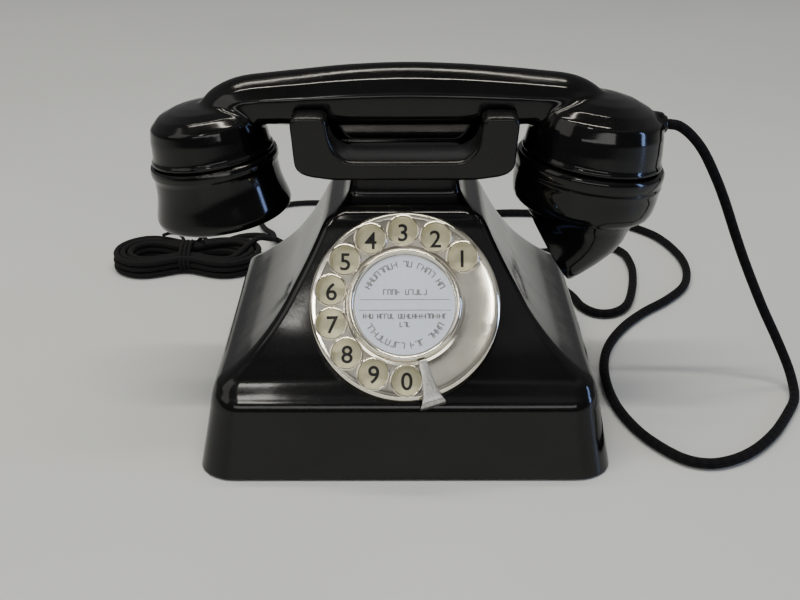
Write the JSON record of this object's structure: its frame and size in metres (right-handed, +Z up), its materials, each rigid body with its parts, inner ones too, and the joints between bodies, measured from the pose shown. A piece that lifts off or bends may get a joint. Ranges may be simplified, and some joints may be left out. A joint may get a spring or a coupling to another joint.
{
  "type": "rotary telephone",
  "caption": "Black moulded table telephone: sloping square case, handset across a forked cradle, finger dial with cream number ring, braided cords.",
  "frame": {"origin": "under the centre of the telephone without its cords, on the surface the feet stand on", "axes": "+X to the right seen from the dial, +Y to the rear, +Z up"},
  "size_m": [0.3416, 0.3169, 0.1501],
  "materials": {
    "bakelite": "black, polished",
    "nickel": "nickel plate, polished",
    "steel": "plain satin steel",
    "brass": "satin",
    "enamel": "cream enamel, glossy",
    "card": "pale card",
    "clear": "clear window",
    "rubber": "matte black rubber",
    "fibre": "brown fibre board",
    "braid": "black woven cotton braid"
  },
  "bodies": {
    "phone": {"base_plate": "steel", "capacitor": "steel", "case": "bakelite", "case_screw_left_front": "steel", "case_screw_left_rear": "steel", "case_screw_right_front": "steel", "case_screw_right_rear": "steel", "cradle": "bakelite", "cradle_screw_front": "steel", "cradle_screw_rear": "steel", "dial_case": "steel", "dial_mainspring": "steel", "finger_stop": "steel", "foot_left_front": "rubber", "foot_left_rear": "rubber", "foot_right_front": "rubber", "foot_right_rear": "rubber", "handset_cord": "braid", "handset_cord_bush": "rubber", "hook_bracket": "steel", "hook_contact_block": "fibre", "hook_contact_springs": "brass", "hook_return_spring": "steel", "induction_coil": "fibre", "induction_coil_core": "steel", "line_cord_bush": "rubber", "line_cord_hank": "braid", "line_cord_lead": "braid", "line_cord_tail": "braid", "line_plug": "bakelite", "number_plate": "enamel", "plug_pin_1": "brass", "plug_pin_2": "brass", "pulse_contact_block": "fibre", "pulse_contact_springs": "brass", "terminal_block": "bakelite", "terminal_screw_1": "brass", "terminal_screw_2": "brass", "terminal_screw_3": "brass"},
    "handset": {"handset_moulding": "bakelite", "receiver_cap": "bakelite", "receiver_capsule": "steel", "receiver_diaphragm": "steel", "mouthpiece": "bakelite", "transmitter_capsule": "steel", "handset_gland": "bakelite", "handset_cord_tail": "braid"},
    "hook": {"bridge_bar": "steel", "plunger_left": "bakelite", "plunger_right": "bakelite", "push_rod": "steel"},
    "dial": {"finger_wheel": "nickel", "label_ring": "nickel", "label_card": "card", "label_window": "clear", "dial_spindle": "steel", "main_gear": "brass", "impulse_wheel": "steel"},
    "governor": {"governor_pinion": "brass", "governor_weight": "brass"}
  },
  "joints": [
    {"name": "handset_lift", "type": "slide", "parent": "phone", "child": "handset", "axis": [0, 0, 1], "range_m": [0, 0.1]},
    {"name": "hook_rise", "type": "slide", "parent": "phone", "child": "hook", "axis": [0, 0, 1], "range_m": [0, 0.0035], "deforming": ["hook_return_spring"]},
    {"name": "dial_turn", "type": "hinge", "parent": "phone", "child": "dial", "pos_m": [0, -0.0585, 0.0677], "axis": [0, 0.829, -0.5592], "range_deg": [0, 330], "stiffness_Nm_per_rad": 0.004, "springref_deg": -45.84},
    {"name": "governor_spin", "type": "hinge", "parent": "phone", "child": "governor", "pos_m": [0, -0.06912, 0.05195], "axis": [0, 0.829, -0.5592], "range_deg": [-1155, 0]}
  ],
  "couplings": [
    {"joint": "hook_rise", "follows": "handset_lift", "ratio": 0.035},
    {"joint": "governor_spin", "follows": "dial_turn", "ratio": -3.5}
  ]
}
